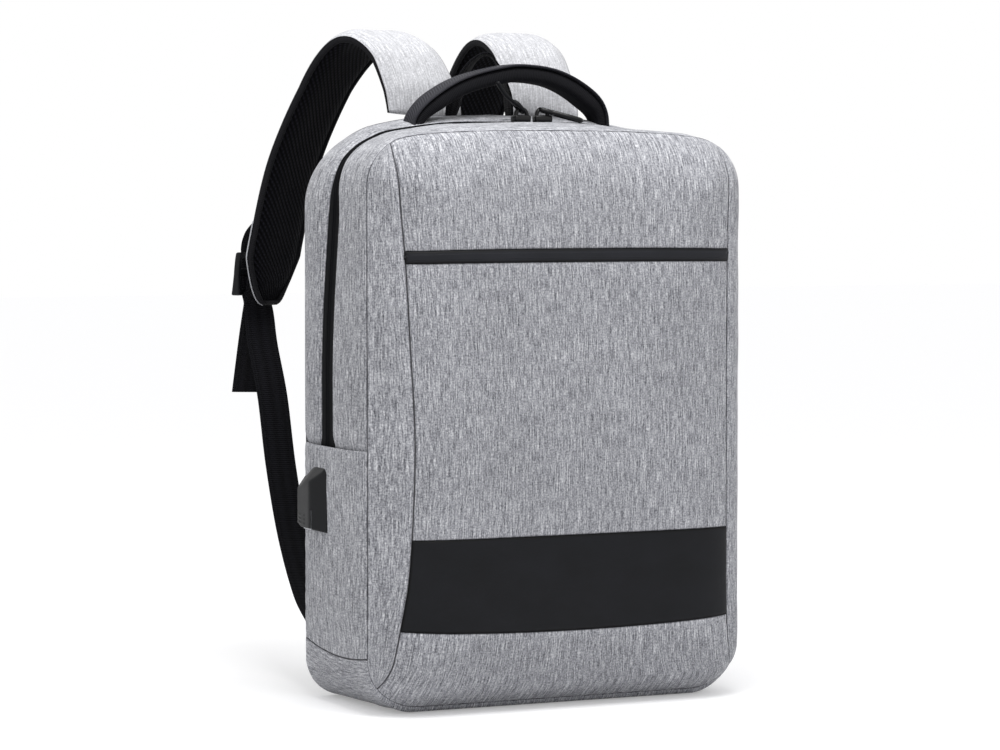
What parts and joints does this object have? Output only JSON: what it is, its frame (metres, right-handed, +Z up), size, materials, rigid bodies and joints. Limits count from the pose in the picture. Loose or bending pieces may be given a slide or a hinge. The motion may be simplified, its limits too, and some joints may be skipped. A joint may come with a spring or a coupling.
{
  "type": "laptop backpack",
  "caption": "Slim laptop backpack in grey cloth with a fold-down front lid, padded shoulder straps, side pockets and a charging port.",
  "frame": {"origin": "middle of the flat base, on the surface the backpack stands on", "axes": "+Z up, -Y the front of the bag, +Y towards the wearer, +X to the right of someone facing the front"},
  "size_m": [0.312, 0.3349, 0.4935],
  "materials": {
    "grey_cloth": "matte melange weave",
    "black_lining": "matte woven lining",
    "smooth_leather": "smooth satin polyurethane leather",
    "zip_tape": "fine matte woven tape over a coated zip",
    "air_mesh": "open knitted spacer mesh",
    "foam": "soft closed-cell foam",
    "black_webbing": "ribbed woven webbing",
    "black_plastic": "fine moulded satin",
    "stiff_board": "plain matte sheet",
    "black_metal": "gloss black lacquer",
    "socket_metal": "plain pressed tin-plated shell"
  },
  "bodies": {
    "bag": {"bottom_panel": "grey_cloth", "rear_gusset": "grey_cloth", "front_lower_panel": "grey_cloth", "front_base_panel": "grey_cloth", "left_lower_gore": "grey_cloth", "left_side_pocket": "grey_cloth", "left_strap_anchor": "grey_cloth", "left_web_tab": "grey_cloth", "right_lower_gore": "grey_cloth", "right_side_pocket": "grey_cloth", "right_strap_anchor": "grey_cloth", "right_web_tab": "grey_cloth", "strap_yoke": "grey_cloth", "back_panel": "black_lining", "laptop_divider": "black_lining", "left_side_panel": "black_lining", "right_side_panel": "black_lining", "front_band": "smooth_leather", "rear_zip_tape": "zip_tape", "back_pad_left": "air_mesh", "back_pad_right": "air_mesh", "lumbar_pad": "air_mesh", "left_lower_webbing": "black_webbing", "right_lower_webbing": "black_webbing", "usb_housing": "black_plastic", "usb_backing_plate": "black_plastic", "base_board": "stiff_board", "usb_socket": "socket_metal"},
    "lid": {"front_gusset": "grey_cloth", "front_zip_tape": "zip_tape", "front_upper_panel": "grey_cloth", "front_pocket_zip": "smooth_leather", "front_middle_panel": "grey_cloth", "left_upper_gore": "grey_cloth", "right_upper_gore": "grey_cloth", "front_pocket_lining": "black_lining"},
    "left_zip_slider": {"left_slider": "black_metal"},
    "left_zip_pull": {"left_pull_tab": "black_metal"},
    "right_zip_slider": {"right_slider": "black_metal"},
    "right_zip_pull": {"right_pull_tab": "black_metal"},
    "pocket_zip_slider": {"pocket_slider": "black_metal"},
    "handle": {"handle_webbing": "black_webbing", "handle_padding": "black_webbing"},
    "loop": {"hang_loop": "black_webbing"},
    "left_strap": {"left_strap_shell": "grey_cloth", "left_strap_foam": "foam", "left_strap_mesh": "air_mesh", "left_lock_holder": "black_webbing"},
    "left_lock": {"left_ladder_lock": "black_plastic"},
    "left_tail": {"left_strap_tail": "black_webbing"},
    "right_strap": {"right_strap_shell": "grey_cloth", "right_strap_foam": "foam", "right_strap_mesh": "air_mesh", "right_lock_holder": "black_webbing"},
    "right_lock": {"right_ladder_lock": "black_plastic"},
    "right_tail": {"right_strap_tail": "black_webbing"}
  },
  "joints": [
    {"name": "lid_fold", "type": "hinge", "parent": "bag", "child": "lid", "pos_m": [0, -0.0903, 0.18835], "axis": [1, 0, 0], "range_deg": [0, 95]},
    {"name": "left_slider_run", "type": "slide", "parent": "lid", "child": "left_zip_slider", "axis": [1, 0, 0], "range_m": [-0.09, 0]},
    {"name": "left_pull_turn", "type": "hinge", "parent": "left_zip_slider", "child": "left_zip_pull", "pos_m": [0.003, 0.008, 0.43157], "axis": [0, 1, 0], "range_deg": [0, 60]},
    {"name": "right_slider_run", "type": "slide", "parent": "lid", "child": "right_zip_slider", "axis": [1, 0, 0], "range_m": [0, 0.07]},
    {"name": "right_pull_turn", "type": "hinge", "parent": "right_zip_slider", "child": "right_zip_pull", "pos_m": [0.02, 0.008, 0.43157], "axis": [0, -1, 0], "range_deg": [0, 100]},
    {"name": "pocket_slider_run", "type": "slide", "parent": "lid", "child": "pocket_zip_slider", "axis": [1, 0, 0], "range_m": [0, 0.2]},
    {"name": "handle_swing", "type": "hinge", "parent": "bag", "child": "handle", "pos_m": [0, 0.026, 0.42893], "axis": [1, 0, 0], "range_deg": [-5, 12]},
    {"name": "loop_swing", "type": "hinge", "parent": "bag", "child": "loop", "pos_m": [-0.01, 0.0515, 0.4299], "axis": [1, 0, 0], "range_deg": [-8, 5]},
    {"name": "left_strap_swing", "type": "hinge", "parent": "bag", "child": "left_strap", "pos_m": [-0.049, 0.0665, 0.428], "axis": [1, 0, 0], "range_deg": [-20, 4], "deforming": ["left_lower_webbing"]},
    {"name": "left_lock_tilt", "type": "hinge", "parent": "left_strap", "child": "left_lock", "pos_m": [-0.12623, 0.21174, 0.325], "axis": [0.8829, 0.4695, 0], "range_deg": [0, 30], "deforming": ["left_lower_webbing"]},
    {"name": "left_tail_swing", "type": "hinge", "parent": "left_lock", "child": "left_tail", "pos_m": [-0.12757, 0.21426, 0.314], "axis": [0.8829, 0.4695, 0], "range_deg": [-5, 50]},
    {"name": "right_strap_swing", "type": "hinge", "parent": "bag", "child": "right_strap", "pos_m": [0.049, 0.0665, 0.428], "axis": [1, 0, 0], "range_deg": [-20, 4], "deforming": ["right_lower_webbing"]},
    {"name": "right_lock_tilt", "type": "hinge", "parent": "right_strap", "child": "right_lock", "pos_m": [0.03181, 0.2301, 0.325], "axis": [0.9945, 0.1045, 0], "range_deg": [0, 30], "deforming": ["right_lower_webbing"]},
    {"name": "right_tail_swing", "type": "hinge", "parent": "right_lock", "child": "right_tail", "pos_m": [0.03151, 0.23293, 0.314], "axis": [0.9945, 0.1045, 0], "range_deg": [-5, 50]}
  ]
}
